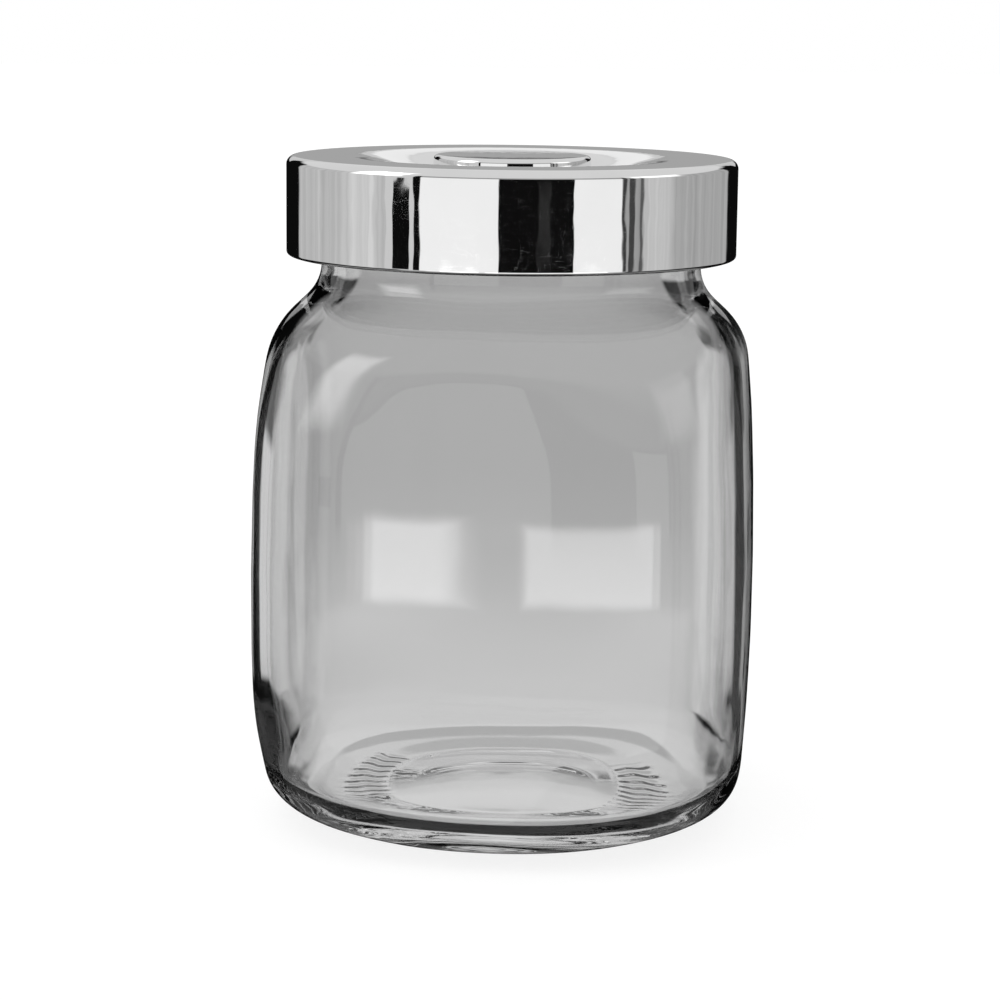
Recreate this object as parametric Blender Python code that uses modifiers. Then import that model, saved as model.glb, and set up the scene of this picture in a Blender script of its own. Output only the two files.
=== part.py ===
"""Lidded glass canister.

A one-litre glass jar, rounded-square in plan with a short round neck, and a push-on lid that lifts off.
The lid is a bright cap with a disc knob in a finger dish. A plastic stopper under the cap carries a
silicone seal, and one screw from below clamps stopper, cap and knob together.

Metres, +Z up. The origin is the centre of the face that the jar stands on. The lid's pieces are drawn
from the glass rim upwards and hang on the empty "lid_on_rim", which stands on the rim.
"""

import math

import bpy
import numpy as np
from mathutils import Matrix

# ---- Glass jar ----
JAR_HEIGHT = 0.1405
BODY_HALF_WIDTH = 0.0541
WIDEST_HEIGHT = 0.050
SIDE_BULGE_RADIUS = 0.710
BODY_SQUARENESS = 3.25  # exponent of the plan outline: 2 is a circle, more is squarer
BASE_SQUARENESS = 2.1
SQUARE_FROM_HEIGHT = 0.033
ROUNDING_DROP = 0.0585  # the plan turns from square to round between this depth below the rim ...
NECK_ROUND_DROP = 0.0195  # ... and this one
NECK_RADIUS = 0.0413
NECK_WALL = 0.0033
NECK_HEIGHT = 0.0218
SHOULDER_RISE = 0.0096
SHOULDER_FILLET = 0.016
NECK_FILLET = 0.010
RIM_FILLET = 0.0012
SIDE_WALL = 0.0030
HEEL_INSET = 0.0161  # from the sides in to the standing ring
HEEL_RISE = 0.0055
HEEL_FILLET = 0.0093
INNER_HEEL_FILLET = 0.0083
FLOOR_MARGIN = 0.0125  # from the inner side in to where the floor starts to rise
STANDING_RING_WIDTH = 0.0110
PUNT_RISE = 0.0030
BASE_THICKNESS = 0.0065
FLOOR_RISE = 0.0015

# ---- Lid ----
LID_OVERHANG = 0.0077  # how far the cap stands out past the neck
LID_HEIGHT = 0.0213
SHELL_WALL = 0.0016
SHELL_TOP_FILLET = 0.0016
SHELL_HEM_FILLET = 0.0007
DISH_DEPTH = 0.0039
DISH_MARGIN = 0.0033  # from the plug's bore in to the dish's edge
DISH_FILLET = 0.0012
DISH_LIP_FILLET = 0.034  # the rim rolls over slowly into the dish
KNOB_RADIUS = 0.01735
KNOB_GROOVE = 0.0021
KNOB_RISE = 0.0004  # knob's top above the cap's rim
KNOB_WALL = 0.0015
KNOB_FILLET = 0.0010
BOSS_RADIUS = 0.0040
LINER_FLANGE = 0.0019
LINER_WALL = 0.0018
PLUG_DEPTH = 0.0120
PLUG_BEAD = 0.0010
BEAD_FILLET = 0.0006
PLUG_ROOT_FILLET = 0.0010
LIP_THICKNESS = 0.0008
SEAL_BODY = 0.0008
FIN_REACH = 0.0010
FIN_COUNT = 3
FIN_ROOT = 0.0010
FIN_EDGE = 0.0002
FIN_TAPER = 0.00015
GASKET_THICKNESS = 0.0006
GASKET_WIDTH = 0.0038
SCREW_RADIUS = 0.00175
SCREW_HEAD_RADIUS = 0.0036
SCREW_HEAD_HEIGHT = 0.0024
SCREW_HEAD_FILLET = 0.0014
SCREW_TIP_ROOM = 0.0006
WASHER_THICKNESS = 0.0008
WASHER_MARGIN = 0.0012  # washer's edge beyond the screw head
RECESS_SPAN = 0.0044
RECESS_WIDTH = 0.0009
RECESS_DEPTH = 0.0014

# ---- Fit and facets ----
GAP = 0.0003  # between pieces that touch
JAR_SEGMENTS = 56
LID_SEGMENTS = 48
SMALL_SEGMENTS = 24
ARC_STEPS = 4
SIDE_STEPS = 6
DOME_STEPS = 3
MERGE = 0.00001
SMOOTH_ANGLE = math.radians(35)

# ---- Sizes that follow ----
NECK_BORE = NECK_RADIUS - NECK_WALL
FIN_RADIUS = NECK_BORE - GAP
SEAL_RADIUS = FIN_RADIUS - FIN_REACH
PLUG_RADIUS = SEAL_RADIUS - SEAL_BODY - GAP
PLUG_BORE = PLUG_RADIUS - LINER_WALL
SHELL_RADIUS = NECK_RADIUS + LID_OVERHANG
DISH_RADIUS = PLUG_BORE - DISH_MARGIN
DISH_FLOOR_RADIUS = KNOB_RADIUS + KNOB_GROOVE
SCREW_HOLE = SCREW_RADIUS + GAP
BOSS_HOLE = BOSS_RADIUS + GAP

# Heights above the glass rim, from the rim up to the cap and then down through the middle of the lid.
LIP_BOTTOM = GAP
LIP_TOP = LIP_BOTTOM + LIP_THICKNESS
FLANGE_BOTTOM = LIP_TOP + GAP
FLANGE_TOP = FLANGE_BOTTOM + LINER_FLANGE
SHELL_TOP = FLANGE_TOP + GAP + SHELL_WALL
SHELL_BOTTOM = SHELL_TOP - LID_HEIGHT
DISH_FLOOR = SHELL_TOP - DISH_DEPTH
LINER_FLOOR_TOP = DISH_FLOOR - SHELL_WALL - GAP
LINER_FLOOR_BOTTOM = LINER_FLOOR_TOP - LINER_WALL
WASHER_TOP = LINER_FLOOR_BOTTOM - GAP
WASHER_BOTTOM = WASHER_TOP - WASHER_THICKNESS
HEAD_TOP = WASHER_BOTTOM - GAP
HEAD_BOTTOM = HEAD_TOP - SCREW_HEAD_HEIGHT
KNOB_TOP = SHELL_TOP + KNOB_RISE
KNOB_BOTTOM = DISH_FLOOR + GAP
GASKET_TOP = KNOB_BOTTOM + GASKET_THICKNESS
BOSS_BOTTOM = LINER_FLOOR_TOP + GAP
BORE_TOP = KNOB_TOP - KNOB_WALL + SCREW_TIP_ROOM
PLUG_BOTTOM = -PLUG_DEPTH


def clear_scene():
    for old in list(bpy.data.objects):
        bpy.data.objects.remove(old, do_unlink=True)


def make_collection(name):
    collection = bpy.data.collections.new(name)
    bpy.context.scene.collection.children.link(collection)
    return collection


def make_material(name, colour, roughness, metallic=0.0, transmission=0.0):
    material = bpy.data.materials.new(name)
    material.use_nodes = True
    shader = material.node_tree.nodes["Principled BSDF"]
    shader.inputs["Base Color"].default_value = (*colour, 1.0)
    shader.inputs["Roughness"].default_value = roughness
    shader.inputs["Metallic"].default_value = metallic
    shader.inputs["Transmission Weight"].default_value = transmission
    return material


def add_object(name, mesh, collection, material, parent=None):
    mesh.materials.append(material)
    piece = bpy.data.objects.new(name, mesh)
    collection.objects.link(piece)
    piece.parent = parent
    return piece


def rounded(corners):
    """A line through (radius, height, fillet) corners, each fillet an arc tangent to both sides.

    A fillet takes at most half of the shorter side beside it.
    """
    points = [np.array(corner[:2]) for corner in corners]
    line = [points[0]]
    for before, here, after, corner in zip(points, points[1:], points[2:], corners[1:]):
        back, ahead = before - here, after - here
        sides = np.linalg.norm(back), np.linalg.norm(ahead)
        back, ahead = back / sides[0], ahead / sides[1]
        half_angle = math.acos(np.clip(back @ ahead, -1, 1)) / 2
        reach = min(corner[2] / math.tan(half_angle), min(sides) / 2)
        if reach < MERGE:
            line.append(here)
            continue
        radius = reach * math.tan(half_angle)
        centre = here + (back + ahead) / np.linalg.norm(back + ahead) * radius / math.sin(half_angle)
        start, end = here + back * reach - centre, here + ahead * reach - centre
        turn = math.atan2(start[0] * end[1] - start[1] * end[0], start @ end)
        for angle in np.linspace(0, turn, ARC_STEPS + 1):
            cos, sin = math.cos(angle), math.sin(angle)
            line.append(centre + (start[0] * cos - start[1] * sin, start[0] * sin + start[1] * cos))
    line.append(points[-1])
    return np.array(line)


def wall_corner(before, here, after, first_wall, second_wall):
    """Where two walls' inner faces meet; their outer faces run before-here-after, inside on the right."""
    rows, reaches = [], []
    for start, end, wall in ((before, here, first_wall), (here, after, second_wall)):
        run = np.subtract(end[:2], start[:2]) / math.dist(start[:2], end[:2])
        inward = np.array((run[1], -run[0]))
        rows.append(inward)
        reaches.append(inward @ np.array(here[:2]) + wall)
    return tuple(np.linalg.solve(rows, reaches))


def turned(name, line, collection, material, parent, segments, closed):
    """A solid of revolution: the line runs from its top outwards, down the outside and back in."""
    count = len(line)
    edges = [(i, i + 1) for i in range(count - 1)] + ([(count - 1, 0)] if closed else [])
    mesh = bpy.data.meshes.new(name)
    mesh.from_pydata([(radius, 0.0, height) for radius, height in line], edges, [])
    piece = add_object(name, mesh, collection, material, parent)
    screw = piece.modifiers.new("Turn", "SCREW")
    screw.axis = "Z"
    screw.steps = segments
    screw.render_steps = segments
    screw.use_merge_vertices = True
    screw.merge_threshold = MERGE
    screw.use_smooth_shade = True
    return piece


def side_half_width(height):
    """Half width of the body's bulged side at a height."""
    return BODY_HALF_WIDTH - (height - WIDEST_HEIGHT) ** 2 / (2 * SIDE_BULGE_RADIUS)


def blend(value, low, high):
    """0 below low, 1 above high, smooth between."""
    share = np.clip((value - low) / (high - low), 0, 1)
    return share * share * (3 - 2 * share)


def squareness(height):
    """Exponent of the plan outline at a height: nearly round base, square body, round neck."""
    rise = blend(height, 0, SQUARE_FROM_HEIGHT)
    fall = blend(height, JAR_HEIGHT - ROUNDING_DROP, JAR_HEIGHT - NECK_ROUND_DROP)
    body = BASE_SQUARENESS + (BODY_SQUARENESS - BASE_SQUARENESS) * rise
    return body + (2 - body) * fall


def bowed(reach, height, rise):
    """A shallow dome seen from the side: from its edge in to the axis, rise above the edge's height."""
    radii = np.linspace(reach, 0, DOME_STEPS + 1)
    return [(radius, height + rise * (1 - (radius / reach) ** 2), 0) for radius in radii]


def jar_lines():
    """The jar's outer line from the middle of its underside to the rim, and its inner line back down."""
    foot = BODY_HALF_WIDTH - HEEL_INSET
    neck_foot = JAR_HEIGHT - NECK_HEIGHT
    shoulder = neck_foot - SHOULDER_RISE
    heights = np.linspace(HEEL_RISE, shoulder, SIDE_STEPS + 1)
    side = [(side_half_width(height), height, 0) for height in heights]
    side[0] = (*side[0][:2], HEEL_FILLET)
    side[-1] = (*side[-1][:2], SHOULDER_FILLET)
    neck = [(NECK_RADIUS, neck_foot, NECK_FILLET), (NECK_RADIUS, JAR_HEIGHT, RIM_FILLET)]
    rim_end = (NECK_BORE, JAR_HEIGHT, RIM_FILLET)
    underside = bowed(foot - STANDING_RING_WIDTH, 0, PUNT_RISE)[::-1]
    outer = underside + [(foot, 0, 0)] + side + neck

    inner_neck = wall_corner(side[-1], neck[0], neck[1], -SIDE_WALL, -NECK_WALL)
    inner_shoulder = wall_corner(side[-2], side[-1], neck[0], -SIDE_WALL, -SIDE_WALL)
    inner_heights = np.linspace(inner_shoulder[1], BASE_THICKNESS, SIDE_STEPS + 1)[1:]
    inner_side = [(side_half_width(height) - SIDE_WALL, height, 0) for height in inner_heights]
    inner_side[-1] = (*inner_side[-1][:2], INNER_HEEL_FILLET)
    floor_reach = inner_side[-1][0] - FLOOR_MARGIN
    floor = bowed(floor_reach, BASE_THICKNESS, FLOOR_RISE)
    inner = [(*inner_neck, NECK_FILLET), (*inner_shoulder, SHOULDER_FILLET - SIDE_WALL)] + inner_side + floor
    return rounded(outer + [rim_end] + inner)


def make_glass_jar(collection):
    """A loft through plan outlines whose squareness changes with height, closed at both middles."""
    line = jar_lines()
    radii, heights = line[1:-1, 0], line[1:-1, 1]
    turns = np.linspace(0, 2 * math.pi, JAR_SEGMENTS, endpoint=False)
    power = squareness(heights)[:, None]
    spread = np.abs(np.cos(turns)) ** power + np.abs(np.sin(turns)) ** power
    reach = radii[:, None] * spread ** (-1 / power)
    levels = np.broadcast_to(heights[:, None], reach.shape)
    rings = np.stack([reach * np.cos(turns), reach * np.sin(turns), levels], 2)
    points = np.concatenate([[(0, 0, line[0, 1])], rings.reshape(-1, 3), [(0, 0, line[-1, 1])]])

    here = np.arange(JAR_SEGMENTS)
    beside = (here + 1) % JAR_SEGMENTS
    rows = 1 + JAR_SEGMENTS * np.arange(len(radii) - 1)[:, None]
    above = rows + JAR_SEGMENTS
    quads = np.stack([rows + here, rows + beside, above + beside, above + here], 2)
    first, last = 1, 1 + JAR_SEGMENTS * (len(radii) - 1)
    end = len(points) - 1
    under = [(0, first + b, first + a) for a, b in zip(here.tolist(), beside.tolist())]
    floor = [(end, last + a, last + b) for a, b in zip(here.tolist(), beside.tolist())]

    mesh = bpy.data.meshes.new("glass_jar")
    mesh.from_pydata(points.tolist(), [], under + quads.reshape(-1, 4).tolist() + floor)
    mesh.shade_smooth()
    mesh.set_sharp_from_angle(angle=SMOOTH_ANGLE)
    glass = make_material("clear glass", (0.92, 0.93, 0.93), 0.02, transmission=1.0)
    return add_object("glass_jar", mesh, collection, glass)


def make_lid_shell(collection, bright, parent):
    """The bright cap: skirt, flat rim, dish, and a hole for the knob's boss."""
    outside = [
        (BOSS_HOLE, DISH_FLOOR, 0),
        (DISH_FLOOR_RADIUS, DISH_FLOOR, DISH_FILLET),
        (DISH_RADIUS, SHELL_TOP, DISH_LIP_FILLET),
        (SHELL_RADIUS, SHELL_TOP, SHELL_TOP_FILLET),
        (SHELL_RADIUS, SHELL_BOTTOM, SHELL_HEM_FILLET),
    ]
    inside = [
        (SHELL_RADIUS - SHELL_WALL, SHELL_BOTTOM, 0),
        (SHELL_RADIUS - SHELL_WALL, SHELL_TOP - SHELL_WALL, 0),
        (*wall_corner(*outside[1:4], SHELL_WALL, SHELL_WALL), 0),
        (*wall_corner(*outside[0:3], SHELL_WALL, SHELL_WALL), 0),
        (BOSS_HOLE, DISH_FLOOR - SHELL_WALL, 0),
    ]
    line = rounded(outside + inside)
    return turned("lid_shell", line, collection, bright, parent, LID_SEGMENTS, True)


def make_knob(collection, bright, parent):
    """The disc knob: a cup turned over, with a boss that goes down through the cap to the liner."""
    gasket_edge = BOSS_HOLE + GASKET_WIDTH + GAP
    line = rounded([
        (0, KNOB_TOP, 0),
        (KNOB_RADIUS, KNOB_TOP, KNOB_FILLET),
        (KNOB_RADIUS, KNOB_BOTTOM, 0),
        (KNOB_RADIUS - KNOB_WALL, KNOB_BOTTOM, 0),
        (KNOB_RADIUS - KNOB_WALL, KNOB_TOP - KNOB_WALL, 0),
        (gasket_edge, KNOB_TOP - KNOB_WALL, 0),
        (gasket_edge, GASKET_TOP + GAP, 0),
        (BOSS_RADIUS, GASKET_TOP + GAP, 0),
        (BOSS_RADIUS, BOSS_BOTTOM, 0),
        (SCREW_HOLE, BOSS_BOTTOM, 0),
        (SCREW_HOLE, BORE_TOP, 0),
        (0, BORE_TOP, 0),
    ])
    return turned("knob", line, collection, bright, parent, LID_SEGMENTS, False)


def make_liner(collection, plastic, parent):
    """The stopper: flange over the glass rim, floor under the dish, and a plug that goes into the neck."""
    shell_line = [
        (BOSS_HOLE, DISH_FLOOR),
        (DISH_FLOOR_RADIUS, DISH_FLOOR),
        (DISH_RADIUS, SHELL_TOP),
        (SHELL_RADIUS, SHELL_TOP),
    ]
    to_top = SHELL_WALL + GAP
    to_underside = SHELL_TOP - FLANGE_BOTTOM
    edge = SHELL_RADIUS - SHELL_WALL - GAP
    line = rounded([
        (SCREW_HOLE, LINER_FLOOR_TOP, 0),
        (*wall_corner(*shell_line[0:3], to_top, to_top), 0),
        (*wall_corner(*shell_line[1:4], to_top, to_top), 0),
        (edge, FLANGE_TOP, 0),
        (edge, FLANGE_BOTTOM, 0),
        (PLUG_RADIUS, FLANGE_BOTTOM, 0),
        (PLUG_RADIUS, PLUG_BOTTOM + PLUG_BEAD, 0),
        (SEAL_RADIUS, PLUG_BOTTOM + PLUG_BEAD, 0),
        (SEAL_RADIUS, PLUG_BOTTOM, BEAD_FILLET),
        (PLUG_BORE, PLUG_BOTTOM, 0),
        (PLUG_BORE, FLANGE_BOTTOM, PLUG_ROOT_FILLET),
        (*wall_corner(*shell_line[1:4], to_underside, to_underside), 0),
        (*wall_corner(*shell_line[0:3], to_top + LINER_WALL, to_underside), 0),
        (SCREW_HOLE, LINER_FLOOR_BOTTOM, 0),
    ])
    return turned("liner", line, collection, plastic, parent, LID_SEGMENTS, True)


def make_seal_ring(collection, silicone, parent):
    """The seal: a sleeve round the plug, a lip over the glass rim and fins against the neck's bore."""
    inner = PLUG_RADIUS + GAP
    bottom = PLUG_BOTTOM + PLUG_BEAD + GAP
    lip = NECK_RADIUS - RIM_FILLET
    line = [(lip, LIP_TOP), (lip, LIP_BOTTOM), (SEAL_RADIUS, LIP_BOTTOM)]
    for top in np.linspace(LIP_BOTTOM, bottom, FIN_COUNT + 2)[1:-1]:
        line += [(SEAL_RADIUS, top), (FIN_RADIUS, top - FIN_TAPER)]
        line += [(FIN_RADIUS, top - FIN_TAPER - FIN_EDGE), (SEAL_RADIUS, top - FIN_ROOT)]
    line += [(SEAL_RADIUS, bottom), (inner, bottom), (inner, LIP_TOP)]
    return turned("seal_ring", line, collection, silicone, parent, LID_SEGMENTS, True)


def make_washers(collection, silicone, parent):
    """The gasket under the knob, round its boss, and the washer over the screw's head."""
    sizes = (
        ("knob_gasket", BOSS_HOLE, BOSS_HOLE + GASKET_WIDTH, KNOB_BOTTOM, GASKET_TOP),
        ("screw_washer", SCREW_HOLE, SCREW_HEAD_RADIUS + WASHER_MARGIN, WASHER_BOTTOM, WASHER_TOP),
    )
    for name, bore, edge, bottom, top in sizes:
        line = [(bore, top), (edge, top), (edge, bottom), (bore, bottom)]
        turned(name, line, collection, silicone, parent, SMALL_SEGMENTS, True)


def make_screw(collection, cutters, steel, parent):
    """Pan-head screw, head down, with a cross recess."""
    tip = BORE_TOP - SCREW_TIP_ROOM
    line = rounded([
        (0, tip, 0),
        (SCREW_RADIUS, tip - SCREW_RADIUS, 0),
        (SCREW_RADIUS, HEAD_TOP, 0),
        (SCREW_HEAD_RADIUS, HEAD_TOP, 0),
        (SCREW_HEAD_RADIUS, HEAD_BOTTOM, SCREW_HEAD_FILLET),
        (0, HEAD_BOTTOM, 0),
    ])
    screw = turned("knob_screw", line, collection, steel, parent, SMALL_SEGMENTS, False)
    slots = ((RECESS_SPAN, RECESS_WIDTH), (RECESS_WIDTH, RECESS_SPAN))
    for number, (span_x, span_y) in enumerate(slots):
        bpy.ops.mesh.primitive_cube_add(size=1, location=(0, 0, HEAD_BOTTOM))
        cutter = bpy.context.object
        cutter.name = f"recess_cutter_{number}"
        cutter.data.transform(Matrix.Diagonal((span_x, span_y, 2 * RECESS_DEPTH, 1)))
        cutter.parent = parent
        cutter.display_type = "WIRE"
        cutter.hide_render = True
        for owner in cutter.users_collection:
            owner.objects.unlink(cutter)
        cutters.objects.link(cutter)
        cut = screw.modifiers.new("Cross recess", "BOOLEAN")
        cut.object = cutter
        cut.operation = "DIFFERENCE"
        cut.solver = "EXACT"
    return screw


def main():
    clear_scene()
    canister = make_collection("Lidded glass canister")
    cutters = make_collection("Cutters")
    bright = make_material("bright plating", (0.78, 0.78, 0.78), 0.04, metallic=1.0)
    plastic = make_material("white plastic", (0.80, 0.80, 0.79), 0.35)
    silicone = make_material("clear silicone", (0.75, 0.76, 0.76), 0.40)
    steel = make_material("steel", (0.62, 0.62, 0.62), 0.25, metallic=1.0)

    make_glass_jar(canister)
    lid = bpy.data.objects.new("lid_on_rim", None)
    lid.location = (0, 0, JAR_HEIGHT)
    canister.objects.link(lid)
    make_lid_shell(canister, bright, lid)
    make_knob(canister, bright, lid)
    make_liner(canister, plastic, lid)
    make_seal_ring(canister, silicone, lid)
    make_washers(canister, silicone, lid)
    make_screw(canister, cutters, steel, lid)


main()
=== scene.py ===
"""Lidded glass canister: its fine surfaces, finishes, studio and camera.

Each piece is a surface worked out on a grid: a lathe profile turned about the axis, or rounded-square
outlines stacked up the axis. Metres, +Z up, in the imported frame. Overall sizes are read from the frame.
"""

import math

import bpy
import numpy as np
from mathutils import Matrix, Vector


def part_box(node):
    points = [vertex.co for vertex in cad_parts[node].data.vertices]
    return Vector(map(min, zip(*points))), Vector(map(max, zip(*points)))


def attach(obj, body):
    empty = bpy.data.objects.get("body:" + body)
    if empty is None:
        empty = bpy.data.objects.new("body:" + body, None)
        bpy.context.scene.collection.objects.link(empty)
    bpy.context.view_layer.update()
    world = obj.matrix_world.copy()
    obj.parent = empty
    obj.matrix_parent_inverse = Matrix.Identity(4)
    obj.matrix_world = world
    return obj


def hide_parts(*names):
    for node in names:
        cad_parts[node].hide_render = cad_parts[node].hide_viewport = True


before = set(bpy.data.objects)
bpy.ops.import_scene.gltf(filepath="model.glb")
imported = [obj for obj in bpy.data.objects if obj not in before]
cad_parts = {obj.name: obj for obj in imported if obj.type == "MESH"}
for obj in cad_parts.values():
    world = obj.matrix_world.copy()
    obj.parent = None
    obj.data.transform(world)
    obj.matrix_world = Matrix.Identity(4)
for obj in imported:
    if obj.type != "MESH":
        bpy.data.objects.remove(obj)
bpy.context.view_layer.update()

# ---- Sizes read from the frame ----
JAR_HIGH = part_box("glass_jar")[1]
CAP_LOW, CAP_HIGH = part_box("lid_shell")
KNOB_LOW, KNOB_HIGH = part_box("knob")
PAD_LOW, PAD_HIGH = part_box("knob_gasket")
STOPPER_LOW, STOPPER_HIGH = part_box("liner")
SEAL_LOW, SEAL_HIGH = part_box("seal_ring")
SCREW_LOW, SCREW_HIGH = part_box("knob_screw")
WASHER_LOW, WASHER_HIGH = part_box("screw_washer")

# ---- Glass jar ----
BODY_HALF_WIDTH = JAR_HIGH.x
JAR_HEIGHT = JAR_HIGH.z
WIDEST_HEIGHT = 0.050
SIDE_BULGE_RADIUS = 0.710
BODY_SQUARENESS = 3.25  # exponent of the plan outline: 2 is a circle, more is squarer
BASE_SQUARENESS = 2.1
SQUARE_FROM_HEIGHT = 0.033
INNER_SQUARE_FROM_HEIGHT = 0.037
ROUNDING_DROP = 0.0585
NECK_ROUND_DROP = 0.0195
NECK_RADIUS = 0.0413
NECK_WALL = 0.0033
NECK_HEIGHT = 0.0222
SHOULDER_RISE = 0.0096
SHOULDER_FILLET = 0.016
NECK_FILLET = 0.010
RIM_FILLET = 0.0012
SIDE_WALL = 0.0030
HEEL_INSET = 0.0116  # from the sides in to the foot's edge
HEEL_RISE = 0.0055
HEEL_FILLET = 0.0085
INNER_HEEL_FILLET = 0.0082
FLOOR_MARGIN = 0.0170  # from the inner side in to where the floor starts to rise
STANDING_RADIUS = 0.0275  # the circle that the jar stands on
STANDING_WIDTH = 0.0010
FOOT_LIFT = 0.0014  # how far the foot rises from that circle to its edge
PUNT_RISE = 0.0030
BASE_THICKNESS = 0.0065
FLOOR_RISE = 0.0015
SOFTENING = 0.0012  # how far the glass rounds over its corners
CRISP_DEPTH = 0.002  # the corners stay crisp this far down from the rim
SOFT_DEPTH = 0.007  # and are fully softened from here down
RIB_COUNT = 52
RIB_DEPTH = 0.00022
RIB_RADII = (0.0268, 0.0375)
RIB_RINGS = 14
RIB_MARGIN = 0.0012  # plain glass at each edge of the ribbed ring
RIB_ROOM = 0.001  # how far past the ribbed ring the underside is searched for it
RIB_ARC = math.radians(33)  # the ribs reach this far round from the jar's left and right
RIB_FADE = 0.7  # the ribs are at their full depth over this share of that arc

# ---- Lid ----
GAP = 0.0003  # between pieces that touch
CAP_WALL = 0.0016
CAP_TOP_FILLET = 0.0019
CAP_HEM_FILLET = 0.0010
CAP_LIP_FILLET = 0.0004
DISH_DEPTH = 0.0039
DISH_RADIUS = 0.0305
DISH_FILLET = 0.0012
DISH_LIP_FILLET = 0.034
DISH_FLOOR_RADIUS = KNOB_HIGH.x + 0.0021
KNOB_WALL = 0.0015
KNOB_FILLET = 0.0010
KNOB_TAPER = 0.0003  # how much narrower the knob is at the top
KNOB_DIP = 0.00025  # how far the knob's top sinks to its middle
KNOB_LIP_FILLET = 0.0003
BOSS_RADIUS = 0.0040
BOSS_HOLE = BOSS_RADIUS + GAP
STOPPER_WALL = 0.0018
STOPPER_FLANGE = 0.0019
MOULDED_EDGE = 0.0002
PLUG_BEAD = 0.0010
BEAD_FILLET = 0.0006
PLUG_ROOT_FILLET = 0.0010
SEAL_SLEEVE = 0.0008
SEAL_LOW_RADIUS = 0.0367
LIP_THICKNESS = 0.0008
FIN_COUNT = 3
FIN_REACH = 0.0010
FIN_ROOT = 0.0010
FIN_EDGE = 0.0002
FIN_TAPER = 0.00015
PAD_FILLET = 0.0002
SCREW_RADIUS = 0.00175
SCREW_HOLE = SCREW_RADIUS + GAP
SCREW_HEAD_HEIGHT = 0.0024
SCREW_HEAD_FILLET = 0.0014
SCREW_EDGE = 0.0002
SCREW_TIP_ROOM = 0.0006
THREAD_PITCH = 0.0013
THREAD_DEPTH = 0.0003
THREAD_ROWS = 10  # rows of points to each turn of the thread
RECESS_SPAN = 0.0044
RECESS_WIDTH = 0.0009
RECESS_DEPTH = 0.0014
RECESS_RIM = 0.0024
RECESS_NARROWING = ((0, 1.04), (0.03, 1), (0.5, 0.93), (0.97, 0.86), (1, 0.8))  # (share of depth, of width)

# ---- Facets ----
JAR_SEGMENTS = 256
RIB_SEGMENTS = 1024
LATHE_SEGMENTS = 192
SCREW_SEGMENTS = 192
FLAT_INSET = 0.00006
ARC_STEPS = 24
SIDE_POINTS = 7
DOME_POINTS = 9
KNOB_DIP_POINTS = 5
FINE_STEP = 0.0001
LONGEST_STEP = 0.0020
SHARPEST_BEND = math.radians(7)
JAR_SHARP_ANGLE = math.radians(60)
LATHE_SHARP_ANGLE = math.radians(40)


def smooth_ramp(value, low, high):
    """0 below low, 1 above high, with a smooth s-curve between."""
    share = np.clip((value - low) / (high - low), 0, 1)
    return share * share * (3 - 2 * share)


def rounded(corners):
    """A line through (radius, height, fillet) corners, each fillet an arc tangent to both sides.

    A fillet's arc starts reach = fillet / tan(half the corner's angle) before the corner, and its reach is at
    most half of the shorter side beside it.
    """
    points = [np.array(corner[:2], float) for corner in corners]
    line = [points[:1]]
    for before, here, after, corner in zip(points, points[1:], points[2:], corners[1:]):
        back, ahead = before - here, after - here
        sides = np.linalg.norm(back), np.linalg.norm(ahead)
        back, ahead = back / sides[0], ahead / sides[1]
        half_angle = math.acos(np.clip(back @ ahead, -1, 1)) / 2
        reach = min(corner[2] / math.tan(half_angle), min(sides) / 2)
        if reach < 1e-6:
            line.append([here])
            continue
        radius = reach * math.tan(half_angle)
        middle = (back + ahead) / np.linalg.norm(back + ahead)
        centre = here + middle * radius / math.sin(half_angle)
        start, end = here + back * reach - centre, here + ahead * reach - centre
        turn = np.linspace(0, math.atan2(start[0] * end[1] - start[1] * end[0], start @ end), ARC_STEPS + 1)
        across = np.array((-start[1], start[0]))
        line.append(centre + np.cos(turn)[:, None] * start + np.sin(turn)[:, None] * across)
    line.append(points[-1:])
    return np.concatenate(line)


def along(line):
    """Distance along a line at each of its points."""
    return np.concatenate([[0], np.cumsum(np.linalg.norm(np.diff(line, axis=0), axis=1))])


def evenly(line, spacing):
    """The line's points respaced evenly along it."""
    walked = along(line)
    marks = np.linspace(0, walked[-1], max(2, round(walked[-1] / spacing)))
    return np.stack([np.interp(marks, walked, line[:, axis]) for axis in range(2)], 1)


def by_bend(line, longest, sharpest):
    """The line respaced so that no step is longer than longest or turns more than sharpest radians."""
    steps = np.diff(line, axis=0)
    headings = np.unwrap(np.arctan2(steps[:, 1], steps[:, 0]))
    bends = np.abs(np.gradient(headings))
    cost = np.concatenate([[0], np.cumsum(np.linalg.norm(steps, axis=1) / longest + bends / sharpest)])
    marks = np.linspace(0, cost[-1], math.ceil(cost[-1]) + 1)
    return np.stack([np.interp(marks, cost, line[:, axis]) for axis in range(2)], 1)


def softened(line, spread, share):
    """The evenly spaced line averaged with a bell of that spread, mixed in by each point's share, 0 to 1."""
    step = along(line)[1]
    reach = int(4 * spread / step)
    bell = np.exp(-0.5 * (np.arange(-reach, reach + 1) * step / spread) ** 2)
    padded = np.pad(line, ((reach, reach), (0, 0)), mode="reflect", reflect_type="odd")
    soft = np.stack([np.convolve(padded[:, axis], bell / bell.sum(), "valid") for axis in range(2)], 1)
    return line + (soft - line) * share[:, None]


def wall_corner(before, here, after, first_wall, second_wall):
    """Where two walls' inner faces meet; their outer faces run before-here-after, inside on the right."""
    rows, reaches = [], []
    for start, end, wall in ((before, here, first_wall), (here, after, second_wall)):
        run = np.subtract(end[:2], start[:2]) / math.dist(start[:2], end[:2])
        inward = np.array((run[1], -run[0]))
        rows.append(inward)
        reaches.append(inward @ np.array(here[:2]) + wall)
    return tuple(np.linalg.solve(rows, reaches))


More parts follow.
